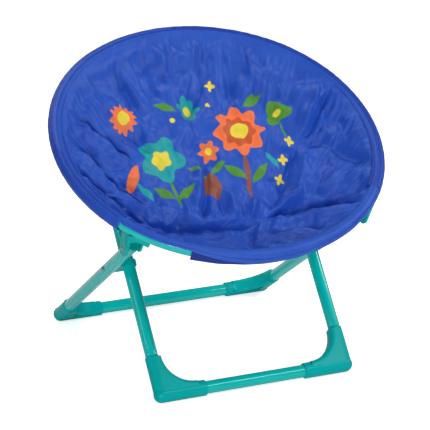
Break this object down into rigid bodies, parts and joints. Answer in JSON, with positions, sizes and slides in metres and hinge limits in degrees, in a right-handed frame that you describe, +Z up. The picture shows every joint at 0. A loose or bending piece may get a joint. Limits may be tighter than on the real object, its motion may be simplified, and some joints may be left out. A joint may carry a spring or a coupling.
{
  "type": "folding saucer chair",
  "caption": "Child's folding saucer chair: crossed U frames of painted tube with plastic corner elbows, and an oval ring that carries a padded fabric bowl.",
  "frame": {"origin": "centre of the footprint of the open chair, on the floor under it", "axes": "+X to the sitter's left, +Y to the back of the chair, +Z up"},
  "size_m": [0.488, 0.4294, 0.4533],
  "materials": {
    "painted_tube": "gloss",
    "elbow_plastic": "satin",
    "bracket_plastic": "satin",
    "plug_plastic": "satin",
    "rivet_steel": "satin",
    "screw_steel": "satin",
    "seat_fabric": "satin weave",
    "rim_fabric": "satin weave",
    "backing_fabric": "matt weave"
  },
  "bodies": {
    "outer_frame": {"outer_leg_left": "painted_tube", "outer_leg_right": "painted_tube", "rear_foot_bar": "painted_tube", "rear_corner_left": "elbow_plastic", "rear_corner_right": "elbow_plastic", "outer_leg_plug_left": "plug_plastic", "outer_leg_plug_right": "plug_plastic", "rear_corner_screws": "screw_steel", "crossing_rivet_left": "rivet_steel", "crossing_rivet_right": "rivet_steel"},
    "inner_frame": {"inner_leg_left": "painted_tube", "inner_leg_right": "painted_tube", "front_foot_bar": "painted_tube", "front_corner_left": "elbow_plastic", "front_corner_right": "elbow_plastic", "inner_leg_plug_left": "plug_plastic", "inner_leg_plug_right": "plug_plastic", "front_corner_screws": "screw_steel", "crossing_spacer_left": "bracket_plastic", "crossing_spacer_right": "bracket_plastic", "hook_pin_left": "rivet_steel", "hook_pin_right": "rivet_steel"},
    "seat": {"front_ring_tube": "painted_tube", "rear_ring_tube": "painted_tube", "ring_joint_left": "rivet_steel", "ring_joint_right": "rivet_steel", "front_bracket_left": "bracket_plastic", "front_bracket_right": "bracket_plastic", "rear_hook_left": "bracket_plastic", "rear_hook_right": "bracket_plastic", "seat_pivot_left": "rivet_steel", "seat_pivot_right": "rivet_steel", "bracket_screws": "screw_steel", "rim_sleeve": "rim_fabric", "front_flap": "rim_fabric", "seat_pad": "seat_fabric", "seat_backing": "backing_fabric"}
  },
  "joints": [
    {"name": "leg_fold", "type": "hinge", "parent": "outer_frame", "child": "inner_frame", "pos_m": [0, -0.0245, 0.1602], "axis": [1, 0, 0], "range_deg": [0, 86]},
    {"name": "seat_fold", "type": "hinge", "parent": "outer_frame", "child": "seat", "pos_m": [0, -0.11646, 0.2206], "axis": [1, 0, 0], "range_deg": [0, 127]}
  ],
  "couplings": [
    {"joint": "seat_fold", "follows": "leg_fold", "ratio": 1.47}
  ]
}
